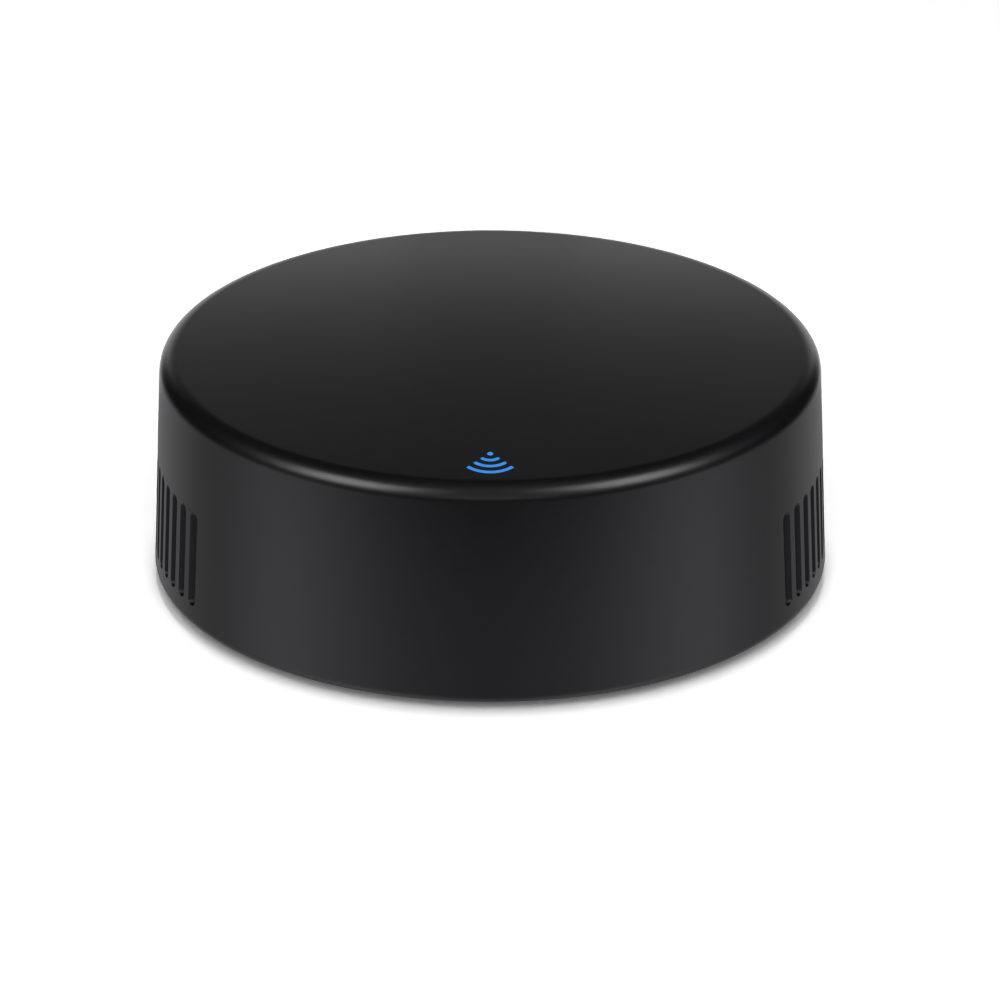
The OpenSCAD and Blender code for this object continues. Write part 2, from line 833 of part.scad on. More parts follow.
module reset_plunger() {
    color("#3b3c40")
    translate([button_x, 0, button_z])
        along_y(switch_y - plunger_in)
            cylinder(d = plunger_d, h = plunger_in + plunger_out);
}

module reset_switch_body() {
    bore_l = plunger_in + 2 * button_travel;
    color("#101113")
    translate([button_x, 0, button_z])
        difference() {
            along_y(switch_y - switch_plate_t - switch_depth)
                linear_extrude(height = switch_depth)
                    square([switch_w, switch_h], center = true);
            along_y(switch_y - bore_l)
                cylinder(d = plunger_d + 2 * plunger_gap, h = bore_l + cut_over);
        }
}

module reset_switch_plate() {
    color("#bfc1c4")
    translate([button_x, 0, button_z])
        difference() {
            along_y(switch_y - switch_plate_t)
                linear_extrude(height = switch_plate_t)
                    square([switch_w, switch_h], center = true);
            along_y(switch_y - switch_plate_t - cut_over)
                cylinder(d = plunger_d + 2 * plunger_gap, h = switch_plate_t + 2 * cut_over);
        }
}

module reset_switch_pins() {
    color("#b8babd")
    for (s = [-1, 1])
        translate([button_x + s * switch_pin_pitch / 2, switch_y - switch_plate_t - switch_depth / 2, 0])
            block_on(lead_w, lead_w, board_t + lead_tail, board_z - lead_tail);
}

module bulk_capacitor_seat() {
    // A square seat with a shallow ring that the can stands in
    color("#141416")
    translate([board_r * bulk_place_shares[0], board_r * bulk_place_shares[1], 0])
        block_on(bulk_d, bulk_d, bulk_seat_h, board_top);
}

module bulk_capacitor() {
    // An aluminium can with the crimped groove near its foot
    groove_r = bulk_seat_h / 3;
    color("#a9acb1")
    translate([board_r * bulk_place_shares[0], board_r * bulk_place_shares[1], board_top + bulk_seat_h])
        rotate_extrude()
            difference() {
                square([bulk_d / 2, bulk_h]);
                translate([bulk_d / 2 + groove_r / 2, bulk_h / 6])
                    circle(r = groove_r);
            }
}

module voltage_regulator() {
    color("#121315")
    translate([board_r * regulator_place_shares[0], board_r * regulator_place_shares[1], 0])
        block_on(regulator_w, regulator_l, regulator_h, board_top);
}

module driver_transistor(i) {
    place = transistor_places_shares[i - 1];
    color("#131416")
    translate([board_r * place[0], board_r * place[1], 0])
        block_on(transistor_l, transistor_w, transistor_h, board_top);
}

module chip_feet() {
    // The flat feet of the regulator and of the transistors
    foot_w = chip_foot_l;
    color("#b8babd") {
        translate([board_r * regulator_place_shares[0], board_r * regulator_place_shares[1], 0]) {
            for (s = [-1, 0, 1])
                translate([-(regulator_w + chip_foot_l) / 2, s * regulator_l / 3, 0])
                    block_on(chip_foot_l, foot_w, chip_foot_t, board_top);
            translate([(regulator_w + chip_foot_l) / 2, 0, 0])
                block_on(chip_foot_l, regulator_l / 2, chip_foot_t, board_top);
        }
        for (place = transistor_places_shares)
            translate([board_r * place[0], board_r * place[1], 0]) {
                for (s = [-1, 1])
                    translate([s * transistor_l / 3, -(transistor_w + chip_foot_l) / 2, 0])
                        block_on(foot_w / 2, chip_foot_l, chip_foot_t, board_top);
                translate([0, (transistor_w + chip_foot_l) / 2, 0])
                    block_on(foot_w / 2, chip_foot_l, chip_foot_t, board_top);
            }
    }
}

module chip_resistors() {
    // One beside each emitter's leads
    color("#17181b")
    for (a = led_angles)
        rotate([0, 0, a])
            translate([lead_at, resistor_side, 0])
                block_on(resistor_l, resistor_w, resistor_h, board_top);
}

module chip_capacitors() {
    color("#a98a63")
    for (place = chip_cap_places_shares)
        translate([board_r * place[0], board_r * place[1], 0])
            block_on(chip_cap_w, chip_cap_l, chip_cap_h, board_top);
}

top_cover();
base_cover();
for (i = [1:foot_count])
    rubber_foot(i);
case_screws();
light_guide();
light_shroud();
main_board();
board_screws();
radio_module_board();
radio_shield_can();
for (i = [1:led_count])
    ir_led(i);
for (i = [1:led_count])
    ir_led_leads(i);
ir_receiver();
ir_receiver_pins();
signal_lamp();
usb_shell();
usb_tongue();
usb_contacts();
reset_button();
reset_plunger();
reset_switch_body();
reset_switch_plate();
reset_switch_pins();
bulk_capacitor();
bulk_capacitor_seat();
voltage_regulator();
for (i = [1:len(transistor_places_shares)])
    driver_transistor(i);
chip_feet();
chip_resistors();
chip_capacitors();
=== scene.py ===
import json
import math

import bmesh
import bpy
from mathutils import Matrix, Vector


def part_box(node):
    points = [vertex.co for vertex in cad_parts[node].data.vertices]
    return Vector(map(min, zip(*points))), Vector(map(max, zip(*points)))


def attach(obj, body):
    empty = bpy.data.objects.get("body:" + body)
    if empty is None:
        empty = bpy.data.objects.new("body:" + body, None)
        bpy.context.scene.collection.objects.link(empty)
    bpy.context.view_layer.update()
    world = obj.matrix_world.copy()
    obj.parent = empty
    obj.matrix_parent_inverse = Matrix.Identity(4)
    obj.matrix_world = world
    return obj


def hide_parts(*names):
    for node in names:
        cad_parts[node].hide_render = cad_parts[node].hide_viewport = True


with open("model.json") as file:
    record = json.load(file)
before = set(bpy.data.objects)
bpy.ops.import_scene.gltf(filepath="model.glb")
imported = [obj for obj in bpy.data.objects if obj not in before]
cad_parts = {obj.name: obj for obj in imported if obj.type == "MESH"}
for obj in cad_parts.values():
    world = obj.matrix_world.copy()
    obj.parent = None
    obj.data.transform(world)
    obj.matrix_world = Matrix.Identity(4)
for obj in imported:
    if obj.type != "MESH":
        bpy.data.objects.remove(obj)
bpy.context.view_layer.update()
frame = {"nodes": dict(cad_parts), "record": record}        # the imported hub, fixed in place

mm = 0.001
print("stage: frame loaded")


# camera

cameraSettings = {
    "photoSize": 1000,       # pixels on each side of the picture
    "elevation": 24.16,      # degrees down on the hub
    "distance": 0.690,       # from the middle of the shell
    "pixelsPerUnit": 7038,   # focal length in pixels
    "middleX": 490.2,        # where the middle of the shell lands in the picture
    "middleY": 455.0,
    "aimHeight": 0.01195,
    "sensor": 36.0,
    "clip": (0.01, 20),
}


def makeCamera(cfg):
    data = bpy.data.cameras.new("photoCamera")
    data.sensor_width = cfg["sensor"]
    data.lens = cfg["pixelsPerUnit"] / cfg["photoSize"] * cfg["sensor"]
    half = cfg["photoSize"] / 2
    data.shift_x = (half - cfg["middleX"]) / cfg["photoSize"]
    data.shift_y = (cfg["middleY"] - half) / cfg["photoSize"]
    data.clip_start, data.clip_end = cfg["clip"]
    cam = bpy.data.objects.new("photoCamera", data)
    tilt = math.radians(cfg["elevation"])
    back = Vector((0, -math.cos(tilt), math.sin(tilt)))
    cam.location = Vector((0, 0, cfg["aimHeight"])) + back * cfg["distance"]
    cam.rotation_euler = (math.pi / 2 - tilt, 0, 0)
    bpy.context.scene.collection.objects.link(cam)
    bpy.context.scene.camera = cam


makeCamera(cameraSettings)
print("stage: camera set")


# node helpers

noiseSettings = {
    "detail": 2.0,
    "usual": (0.3, 0.7),     # noise seldom leaves this range
}


def newMaterial(name):
    mat = bpy.data.materials.new(name)
    mat.use_nodes = True
    shader = mat.node_tree.nodes["Principled BSDF"]
    return mat, mat.node_tree, shader


def addNode(tree, kind, **values):
    node = tree.nodes.new(kind)
    for key, value in values.items():
        if hasattr(node, key):
            setattr(node, key, value)
        else:
            node.inputs[key].default_value = value
    return node


def noiseAt(tree, size, detail=noiseSettings["detail"]):
    # noise whose blobs are about size metres across
    place = addNode(tree, "ShaderNodeTexCoord")
    noise = addNode(tree, "ShaderNodeTexNoise")
    noise.inputs["Scale"].default_value = 1.0 / size
    noise.inputs["Detail"].default_value = detail
    tree.links.new(place.outputs["Object"], noise.inputs["Vector"])
    return noise


def remap(tree, source, low, high):
    # noise, spread over low to high
    ramp = addNode(tree, "ShaderNodeMapRange")
    ramp.inputs["From Min"].default_value, ramp.inputs["From Max"].default_value = noiseSettings["usual"]
    ramp.inputs["To Min"].default_value = low
    ramp.inputs["To Max"].default_value = high
    tree.links.new(source, ramp.inputs["Value"])
    return ramp.outputs["Result"]


def tintBetween(tree, source, first, second):
    mix = addNode(tree, "ShaderNodeMix", data_type="RGBA")
    mix.inputs[6].default_value = (*first, 1)
    mix.inputs[7].default_value = (*second, 1)
    tree.links.new(remap(tree, source, 0, 1), mix.inputs[0])
    return mix.outputs[2]


def grainBump(tree, shader, source, strength, depth):
    bump = addNode(tree, "ShaderNodeBump")
    bump.inputs["Strength"].default_value = strength
    bump.inputs["Distance"].default_value = depth
    tree.links.new(source, bump.inputs["Height"])
    tree.links.new(bump.outputs["Normal"], shader.inputs["Normal"])


# materials

surfaceSettings = {
    "plastic": {"drift": 14 * mm, "grainDetail": 3.0, "grainStrength": 0.35},
    "mask": {"weave": 420, "distortion": 1.5, "blotch": 2.4 * mm, "rough": (0.28, 0.36)},
    "metal": {"stretch": (1, 1, 12), "roughSpread": 0.06},
    "lens": {"cloud": 1.6 * mm, "roughSpread": 0.05, "coat": 0.4},
    "lit": {"patch": 1.1 * mm, "rough": 0.35},
}


def mouldedPlastic(name, dark, light, rough, roughSpread, specular, grain, grainDepth):
    # moulded plastic: fine spark grain, with slow drifts in tone and gloss
    cfg = surfaceSettings["plastic"]
    mat, tree, shader = newMaterial(name)
    drift = noiseAt(tree, cfg["drift"])
    fine = noiseAt(tree, grain, cfg["grainDetail"])
    tree.links.new(tintBetween(tree, drift.outputs["Fac"], dark, light), shader.inputs["Base Color"])
    tree.links.new(remap(tree, drift.outputs["Fac"], rough - roughSpread, rough + roughSpread),
                   shader.inputs["Roughness"])
    shader.inputs["Specular IOR Level"].default_value = specular
    grainBump(tree, shader, fine.outputs["Fac"], cfg["grainStrength"], grainDepth)
    return mat


def solderMask(name, dark, light):
    # lacquered board: the weave of the laminate shows faintly through it
    cfg = surfaceSettings["mask"]
    mat, tree, shader = newMaterial(name)
    place = addNode(tree, "ShaderNodeTexCoord")
    weave = addNode(tree, "ShaderNodeTexWave", wave_type="BANDS", bands_direction="DIAGONAL")
    weave.inputs["Scale"].default_value = cfg["weave"]
    weave.inputs["Distortion"].default_value = cfg["distortion"]
    tree.links.new(place.outputs["Object"], weave.inputs["Vector"])
    blotch = noiseAt(tree, cfg["blotch"])
    tree.links.new(tintBetween(tree, blotch.outputs["Fac"], dark, light), shader.inputs["Base Color"])
    tree.links.new(remap(tree, weave.outputs["Fac"], *cfg["rough"]), shader.inputs["Roughness"])
    return mat


def platedMetal(name, dark, light, rough, streak):
    # plated sheet or wire with fine drawn streaks
    cfg = surfaceSettings["metal"]
    mat, tree, shader = newMaterial(name)
    place = addNode(tree, "ShaderNodeTexCoord")
    stretch = addNode(tree, "ShaderNodeMapping")
    stretch.inputs["Scale"].default_value = cfg["stretch"]
    noise = addNode(tree, "ShaderNodeTexNoise")
    noise.inputs["Scale"].default_value = 1.0 / streak
    tree.links.new(place.outputs["Object"], stretch.inputs["Vector"])
    tree.links.new(stretch.outputs["Vector"], noise.inputs["Vector"])
    tree.links.new(tintBetween(tree, noise.outputs["Fac"], dark, light), shader.inputs["Base Color"])
    tree.links.new(remap(tree, noise.outputs["Fac"], rough - cfg["roughSpread"], rough + cfg["roughSpread"]),
                   shader.inputs["Roughness"])
    shader.inputs["Metallic"].default_value = 1
    return mat


def epoxyLens(name, dark, light, rough):
    # cast epoxy: glossy, with a faint cloud in it
    cfg = surfaceSettings["lens"]
    mat, tree, shader = newMaterial(name)
    cloud = noiseAt(tree, cfg["cloud"])
    tree.links.new(tintBetween(tree, cloud.outputs["Fac"], dark, light), shader.inputs["Base Color"])
    tree.links.new(remap(tree, cloud.outputs["Fac"], rough, rough + cfg["roughSpread"]),
                   shader.inputs["Roughness"])
    shader.inputs["Coat Weight"].default_value = cfg["coat"]
    return mat


def litPlastic(name, body, dark, light, glow):
    # translucent guide lit from below, a little uneven as the lamp's light spreads
    cfg = surfaceSettings["lit"]
    mat, tree, shader = newMaterial(name)
    patch = noiseAt(tree, cfg["patch"])
    shader.inputs["Base Color"].default_value = (*body, 1)
    tree.links.new(tintBetween(tree, patch.outputs["Fac"], dark, light), shader.inputs["Emission Color"])
    shader.inputs["Emission Strength"].default_value = glow
    shader.inputs["Roughness"].default_value = cfg["rough"]
    return mat


# one for each slot of the part
finishes = {
    "shell": mouldedPlastic("shellBlack", (0.005, 0.005, 0.006), (0.006, 0.006, 0.0072),
                            0.34, 0.008, 0.25, 0.09 * mm, 0.004 * mm),
    "base": mouldedPlastic("baseBlack", (0.012, 0.012, 0.013), (0.016, 0.016, 0.017),
                           0.52, 0.03, 0.4, 0.22 * mm, 0.02 * mm),
    "foot_rubber": mouldedPlastic("footRubber", (0.018, 0.018, 0.018), (0.027, 0.027, 0.027),
                                  0.75, 0.05, 0.3, 0.3 * mm, 0.02 * mm),
    "dark_plastic": mouldedPlastic("blackNylon", (0.012, 0.012, 0.012), (0.018, 0.018, 0.019),
                                   0.5, 0.05, 0.4, 0.15 * mm, 0.01 * mm),
    "button_plastic": mouldedPlastic("buttonBlack", (0.014, 0.014, 0.015), (0.019, 0.019, 0.02),
                                     0.42, 0.03, 0.4, 0.12 * mm, 0.005 * mm),
    "chip_ceramic": mouldedPlastic("chipCeramic", (0.3, 0.2, 0.11), (0.42, 0.3, 0.18),
                                   0.6, 0.04, 0.4, 0.1 * mm, 0.005 * mm),
    "screw_steel": platedMetal("screwSteel", (0.3, 0.31, 0.33), (0.48, 0.49, 0.5), 0.32, 0.2 * mm),
    "tin_plate": platedMetal("tinPlate", (0.55, 0.56, 0.58), (0.7, 0.71, 0.72), 0.3, 0.25 * mm),
    "can_aluminium": platedMetal("canAluminium", (0.66, 0.67, 0.69), (0.8, 0.8, 0.82), 0.25, 0.3 * mm),
    "contact_gold": platedMetal("contactGold", (0.78, 0.52, 0.16), (0.92, 0.68, 0.28), 0.22, 0.2 * mm),
    "circuit_board": solderMask("greenMask", (0.008, 0.07, 0.03), (0.012, 0.1, 0.045)),
    "module_board": solderMask("blueMask", (0.008, 0.03, 0.11), (0.014, 0.045, 0.15)),
    "emitter_lens": epoxyLens("emitterEpoxy", (0.03, 0.018, 0.07), (0.05, 0.03, 0.11), 0.12),
    "receiver_lens": epoxyLens("receiverEpoxy", (0.008, 0.006, 0.012), (0.014, 0.011, 0.02), 0.15),
    "lamp_body": epoxyLens("lampResin", (0.6, 0.66, 0.74), (0.74, 0.8, 0.88), 0.2),
    "lit_guide": litPlastic("litGuide", (0.01, 0.04, 0.1), (0.03, 0.226, 0.67), (0.037, 0.256, 0.77), 1.0),
}
slotOf = {row["node"]: row["material_slot"] for row in frame["record"]["subparts"]}
print("stage:", len(finishes), "finishes made")


# mesh helpers

def meshObject(name, bm):
    bmesh.ops.recalc_face_normals(bm, faces=bm.faces)
    data = bpy.data.meshes.new(name)
    bm.to_mesh(data)
    bm.free()
    obj = bpy.data.objects.new(name, data)
    bpy.context.scene.collection.objects.link(obj)
    return obj


def arcPoints(centreR, centreZ, radius, start, end, steps):
    # points along an arc between two angles in degrees
    return [(centreR + radius * math.cos(math.radians(start + (end - start) * i / steps)),
             centreZ + radius * math.sin(math.radians(start + (end - start) * i / steps)))
            for i in range(steps + 1)]


def circleOutline(radius, steps):
    return [(radius * math.cos(2 * math.pi * i / steps), radius * math.sin(2 * math.pi * i / steps))
            for i in range(steps)]


def ringAt(outline, z, centre=(0, 0)):
    return [(centre[0] + x, centre[1] + y, z) for x, y in outline]


def loft(bm, rings):
    # joins closed rings of points one after another, and caps both ends
    made = [[bm.verts.new(p) for p in ring] for ring in rings]
    for low, high in zip(made, made[1:]):
        for i in range(len(low)):
            j = (i + 1) % len(low)
            bm.faces.new((low[i], low[j], high[j], high[i]))
    bm.faces.new(made[0][::-1])
    bm.faces.new(made[-1])


def barOutline(width, height, steps):
    # a bar with half-round ends along its longer side
    r = min(width, height) / 2
    points = []
    for i in range(4 * steps):
        a = 2 * math.pi * (i + 0.5) / (4 * steps)
        u, v = r * math.cos(a), r * math.sin(a)
        points.append((u + math.copysign(width / 2 - r, u), v + math.copysign(height / 2 - r, v)))
    return points


def grownOutline(outline, grow):
    # moves each point of a counter-clockwise outline outwards
    points = []
    for i in range(len(outline)):
        (pu, pv), (u, v), (nu, nv) = outline[i - 1], outline[i], outline[(i + 1) % len(outline)]
        tu, tv = nu - pu, nv - pv
        size = math.hypot(tu, tv)
        points.append((u + grow * tv / size, v - grow * tu / size))
    return points


def rodAt(bm, radius, low, high, centre, steps):
    loft(bm, [ringAt(circleOutline(radius, steps), z, centre) for z in (low, high)])


def blockAt(bm, low, high):
    corners = ((low[0], low[1]), (high[0], low[1]), (high[0], high[1]), (low[0], high[1]))
    loft(bm, [ringAt(corners, z) for z in (low[2], high[2])])


def applyModifiers(obj):
    # bakes them in, as the boolean of one step feeds the next
    bpy.context.view_layer.update()
    graph = bpy.context.evaluated_depsgraph_get()
    data = bpy.data.meshes.new_from_object(obj.evaluated_get(graph))
    obj.modifiers.clear()
    old = obj.data
    obj.data = data
    bpy.data.meshes.remove(old)


def combine(obj, tool, operation):
    # one boolean, applied, with its tool removed
    mod = obj.modifiers.new("combine", "BOOLEAN")
    mod.operation = operation
    mod.solver = "EXACT"
    mod.object = tool
    applyModifiers(obj)
    bpy.data.objects.remove(tool)


def smoothOver(obj, angle):
    # shades flatter edges than the angle smooth, with the large faces leading
    applyModifiers(obj)
    obj.data.polygons.foreach_set("use_smooth", [True] * len(obj.data.polygons))
    obj.data.set_sharp_from_angle(angle=math.radians(angle))
    mod = obj.modifiers.new("weigh", "WEIGHTED_NORMAL")
    mod.keep_sharp = True
    mod.weight = 100         # the most that it takes
    applyModifiers(obj)


def dress(obj, slotName, body, *nodes):
    obj.data.materials.clear()
    obj.data.materials.append(finishes[slotName])
    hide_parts(*nodes)
    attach(obj, body)
    return obj


# shell

shellSettings = {
    "footRadius": 33.0 * mm,
    "height": 22.3 * mm,
    "draft": 0.75 * mm,      # how far the straight part of the wall leans in
    "wall": 1.8 * mm,
    "top": 1.8 * mm,
    "upperRound": 1.75 * mm,
    "lowerRound": 1.0 * mm,
    "innerRound": 0.5 * mm,
    "segments": 360,
    "roundSteps": 14,
    "wallRings": 8,          # up the wall
    "flatRings": (5, 2),     # just inside the flat top, in lips from its edge, to keep its shading flat
    "sharpAngle": 15,        # degrees, over which an edge stays sharp
    "lip": 0.03 * mm,        # rounding of the edges of the openings
    # the steps of a lip, from the opening out: how deep in the wall and how far from the opening, in lips
    "lipSteps": ((1.0, 0.0), (0.5, 0.134), (0.134, 0.5), (-0.134, 1.2)),
    "lipLeft": 0.1,          # share of a lip's depth that is left where the wall curves down to a floor
    "over": 1.0 * mm,        # how far a tool runs past what it cuts
    "bite": 0.6 * mm,        # how far a rib reaches into the wall
}
slotSettings = {
    "count": 16,
    "width": 1.25 * mm,
    "length": 9.8 * mm,
    "pitch": 2.12 * mm,
    "rise": 2.4 * mm,        # over the shell's lower edge
    "depth": 8.0 * mm,       # of the tool, which reaches through the wall
    "steps": 8,
}
bossSettings = {
    "count": 4,
    "radius": 2.7 * mm,
    "inset": 3.9 * mm,       # of its middle, from the inside of the wall
    "web": 1.2 * mm,
    "rise": 3.4 * mm,        # over the shell's lower edge
    "pilotRadius": 1.14 * mm,
    "pilotPast": 0.8 * mm,   # the screws' tips
    "steps": 40,
}
guideSettings = {
    "gap": 0.12 * mm,        # round its plate
    "frameWall": 0.8 * mm,
    "frameHeight": 2.6 * mm,
    "plate": 0.8 * mm,       # thickness
    "sharpAngle": 30,
}
portSettings = {
    "gap": 0.2 * mm,         # round the socket
    "rim": 0.8 * mm,         # of the recess round the opening
    "floorBack": 0.2 * mm,   # of its floor, from the mouth of the socket
    "steps": 12,
}
holeSettings = {
    "gap": 0.1 * mm,         # round the button
    "buttonRadius": 1.4 * mm,
    "recessRadius": 2.5 * mm,
    "travel": 0.3 * mm,      # from the button's face to the floor of its recess
    "setback": 0.2 * mm,     # of the button's face, from the outside of the wall
    "padRadius": 2.7 * mm,   # of the thicker wall behind the button
    "padReach": 2.9 * mm,
    "steps": 48,
}
markSettings = {
    "inset": 6.0 * mm,       # of the dot, from the edge of the flat top
    "dotRadius": 0.28 * mm,
    "arcs": 3,
    "arcRadius": 1.05 * mm,
    "arcStep": 0.96 * mm,
    "stroke": 0.4 * mm,
    "halfAngle": 42,         # degrees to either side
    "stretch": 1.42,         # from front to back
    "gap": 0.03 * mm,        # round the dot and the arcs
    "steps": 24,
    "endSteps": 8,
}
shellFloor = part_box("top_cover")[0].z
shellTop = shellFloor + shellSettings["height"]
ceiling = shellTop - shellSettings["top"]


def shellSlope(cfg):
    return cfg["draft"] / (cfg["height"] - cfg["upperRound"] - cfg["lowerRound"])


def slant(cfg):
    return 1 / math.cos(math.atan(shellSlope(cfg)))


def wallRadius(cfg, z):
    return cfg["footRadius"] - shellSlope(cfg) * (z - shellFloor - cfg["lowerRound"])


def innerRadius(cfg, z):
    return wallRadius(cfg, z) - cfg["wall"] * slant(cfg)


def flatRadius(cfg):
    return wallRadius(cfg, shellTop - cfg["upperRound"]) - cfg["upperRound"] * slant(cfg)


def shellProfile(cfg):
    # radius and height, from the flat top down the outside and up the inside to the ceiling
    lean = math.degrees(math.atan(shellSlope(cfg)))
    steps = cfg["roundSteps"]
    upperZ = shellTop - cfg["upperRound"]
    lowerZ = shellFloor + cfg["lowerRound"]
    innerZ = ceiling - cfg["innerRound"]
    upperR = flatRadius(cfg)
    lowerR = wallRadius(cfg, lowerZ) - cfg["lowerRound"] * slant(cfg)
    innerR = innerRadius(cfg, innerZ) - cfg["innerRound"] * slant(cfg)
    mouthR = innerRadius(cfg, shellFloor)
    outer = [(upperR - lips * cfg["lip"], shellTop) for lips in cfg["flatRings"]]
    outer += arcPoints(upperR, upperZ, cfg["upperRound"], 90, lean, steps)
    for i in range(1, cfg["wallRings"]):
        z = upperZ + (lowerZ - upperZ) * i / cfg["wallRings"]
        outer.append((wallRadius(cfg, z), z))
    outer += arcPoints(lowerR, lowerZ, cfg["lowerRound"], lean, -90, steps)
    # a small chamfer round the mouth
    inner = [(mouthR + 2 * cfg["lip"], shellFloor), (mouthR, shellFloor + 2 * cfg["lip"])]
    inner += arcPoints(innerR, innerZ, cfg["innerRound"], lean, 90, steps // 2)
    return outer + inner


def wallCutter(bm, cfg, outline, centre, axis, side, inner, floor=None, rim=0.0):
    # a tool that enters the wall along X or Y, with rounded lips, and with a recess where floor is given
    cu, cz = centre
    lip = cfg["lip"]

    def place(depth, u, z):
        return (side * depth, u, z) if axis == "x" else (u, side * depth, z)

    def level(points, depth):
        return [place(depth, cu + u, cz + v) for u, v in points]

    rings = [level(outline, inner)]
    start = 0.0
    if floor is not None:
        rings += [level(outline, floor - lip), level(grownOutline(outline, lip), floor),
                  level(grownOutline(outline, rim), floor)]
        start = rim
    for sunk, grow in cfg["lipSteps"]:
        ring = []
        for u, v in grownOutline(outline, start + grow * lip):
            z = cz + v
            depth = math.sqrt(wallRadius(cfg, z) ** 2 - (cu + u) ** 2) - sunk * lip
            if floor is not None:
                # each step stays over the one before it, and the first over the floor
                depth = max(depth, floor + (1 + cfg["lipLeft"] - sunk) * lip * cfg["lipLeft"])
            ring.append(place(depth, cu + u, z))
        rings.append(ring)
    # grow is now that of the last step
    rings.append(level(grownOutline(outline, start + grow * lip), cfg["footRadius"] + 2 * cfg["over"]))
    loft(bm, rings)


def bossPlaces(cfg, boss):
    # distance from the middle, and angle
    at = innerRadius(cfg, shellFloor + boss["rise"]) - boss["inset"]
    for i in range(boss["count"]):
        turn = 2 * math.pi * (i + 0.5) / boss["count"]
        yield at, turn


def markPoint(mark, r, angle):
    return r * math.sin(angle), -r * math.cos(angle) * mark["stretch"]


def markShapes(mark, grow):
    # the dot, and then each arc with its round ends
    steps = mark["steps"]
    yield [markPoint(mark, mark["dotRadius"] + grow, 2 * math.pi * i / steps) for i in range(steps)]
    half = math.radians(mark["halfAngle"])
    reach = mark["stroke"] / 2 + grow
    for k in range(mark["arcs"]):
        r = mark["arcRadius"] + k * mark["arcStep"]
        points = [markPoint(mark, r + reach, half * (2 * i / steps - 1)) for i in range(steps + 1)]
        for end, mid in ((half, 0), (-half, math.pi)):
            ex, ey = markPoint(mark, r, end)
            for i in range(1, mark["endSteps"]):
                cx, cy = markPoint(mark, reach, end + mid + math.pi * i / mark["endSteps"])
                points.append((ex + cx, ey + cy))
            if not mid:
                points += [markPoint(mark, r - reach, half * (1 - 2 * i / steps)) for i in range(steps + 1)]
        yield points


def markPrism(bm, mark, cfg, rings):
    # rings are pairs of a height and how far the shapes are grown there
    middle = mark["inset"] - flatRadius(cfg)
    for shapes in zip(*(markShapes(mark, grow) for z, grow in rings)):
        loft(bm, [ringAt(shape, z, (0, middle)) for shape, (z, grow) in zip(shapes, rings)])


def buttonPlaces(hole):
    # the middle of the button in X and Z, its outer face, and the inner face of the pad round it
    low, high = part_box("reset_button")
    padY = high.y + hole["setback"] - hole["padReach"]
    return (low.x + high.x) / 2, (low.z + high.z) / 2, high.y, padY


def shellRibs(cfg, boss, guide, hole):
    # bosses with their webs, the frame of the light guide and the pad behind the button
    ribs = bmesh.new()
    upTo = ceiling + cfg["top"] / 2
    for at, turn in bossPlaces(cfg, boss):
        z = shellFloor + boss["rise"]
        start = math.asin(boss["web"] / 2 / boss["radius"])
        outline = [(at + boss["radius"] * math.cos(a), boss["radius"] * math.sin(a)) for a in
                   (start + (2 * math.pi - 2 * start) * i / boss["steps"] for i in range(boss["steps"] + 1))]
        reach = innerRadius(cfg, ceiling) + cfg["bite"]
        outline += [(reach, -boss["web"] / 2), (reach, boss["web"] / 2)]
        loft(ribs, [[(x * math.cos(turn) - y * math.sin(turn), x * math.sin(turn) + y * math.cos(turn), h)
                     for x, y in outline] for h in (z, upTo)])
    plateLow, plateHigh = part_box("light_guide")
    around = guide["gap"] + guide["frameWall"]
    blockAt(ribs, (plateLow.x - around, plateLow.y - around - cfg["bite"], ceiling - guide["frameHeight"]),
            (plateHigh.x + around, plateHigh.y + around, upTo))
    buttonX, buttonZ, _, padY = buttonPlaces(hole)
    loft(ribs, [[(buttonX + u, y, buttonZ + v) for u, v in circleOutline(hole["padRadius"], hole["steps"])]
                for y in (padY, padY + hole["padReach"] / 2)])
    return meshObject("ribs", ribs)


def shellCuts(cfg, slots, boss, guide, port, hole):
    # the slots, the openings at the back, the pilot holes and the seat of the light guide
    cuts = bmesh.new()
    slotZ = shellFloor + slots["rise"] + slots["length"] / 2
    lastY = (slots["count"] - 1) / 2 * slots["pitch"]
    for side in (-1, 1):
        for i in range(slots["count"]):
            y = i * slots["pitch"] - lastY
            mouth = math.sqrt(wallRadius(cfg, slotZ) ** 2 - y ** 2)
            wallCutter(cuts, cfg, barOutline(slots["width"], slots["length"], slots["steps"]), (y, slotZ),
                       "x", side, mouth - slots["depth"])
    usbLow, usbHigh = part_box("usb_shell")
    mouthWidth, mouthHeight = usbHigh.x - usbLow.x + 2 * port["gap"], usbHigh.z - usbLow.z + 2 * port["gap"]
    wallCutter(cuts, cfg, barOutline(mouthWidth, mouthHeight, port["steps"]), (0, (usbLow.z + usbHigh.z) / 2),
               "y", 1, usbLow.y, usbHigh.y - port["floorBack"], port["rim"])
    buttonX, buttonZ, buttonY, padY = buttonPlaces(hole)
    holeRadius = hole["buttonRadius"] + hole["gap"]
    wallCutter(cuts, cfg, circleOutline(holeRadius, hole["steps"]), (buttonX, buttonZ),
               "y", 1, padY - cfg["over"], buttonY - hole["travel"], hole["recessRadius"] - holeRadius)
    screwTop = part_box("case_screws")[1].z
    for at, turn in bossPlaces(cfg, boss):
        rodAt(cuts, boss["pilotRadius"], shellFloor, screwTop + boss["pilotPast"],
              (at * math.cos(turn), at * math.sin(turn)), boss["steps"])
    plateLow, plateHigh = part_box("light_guide")
    frameLow = ceiling - guide["frameHeight"]
    blockAt(cuts, (plateLow.x - guide["gap"], plateLow.y - guide["gap"], frameLow - cfg["over"]),
            (plateHigh.x + guide["gap"], plateHigh.y + guide["gap"], ceiling))
    return meshObject("cuts", cuts)


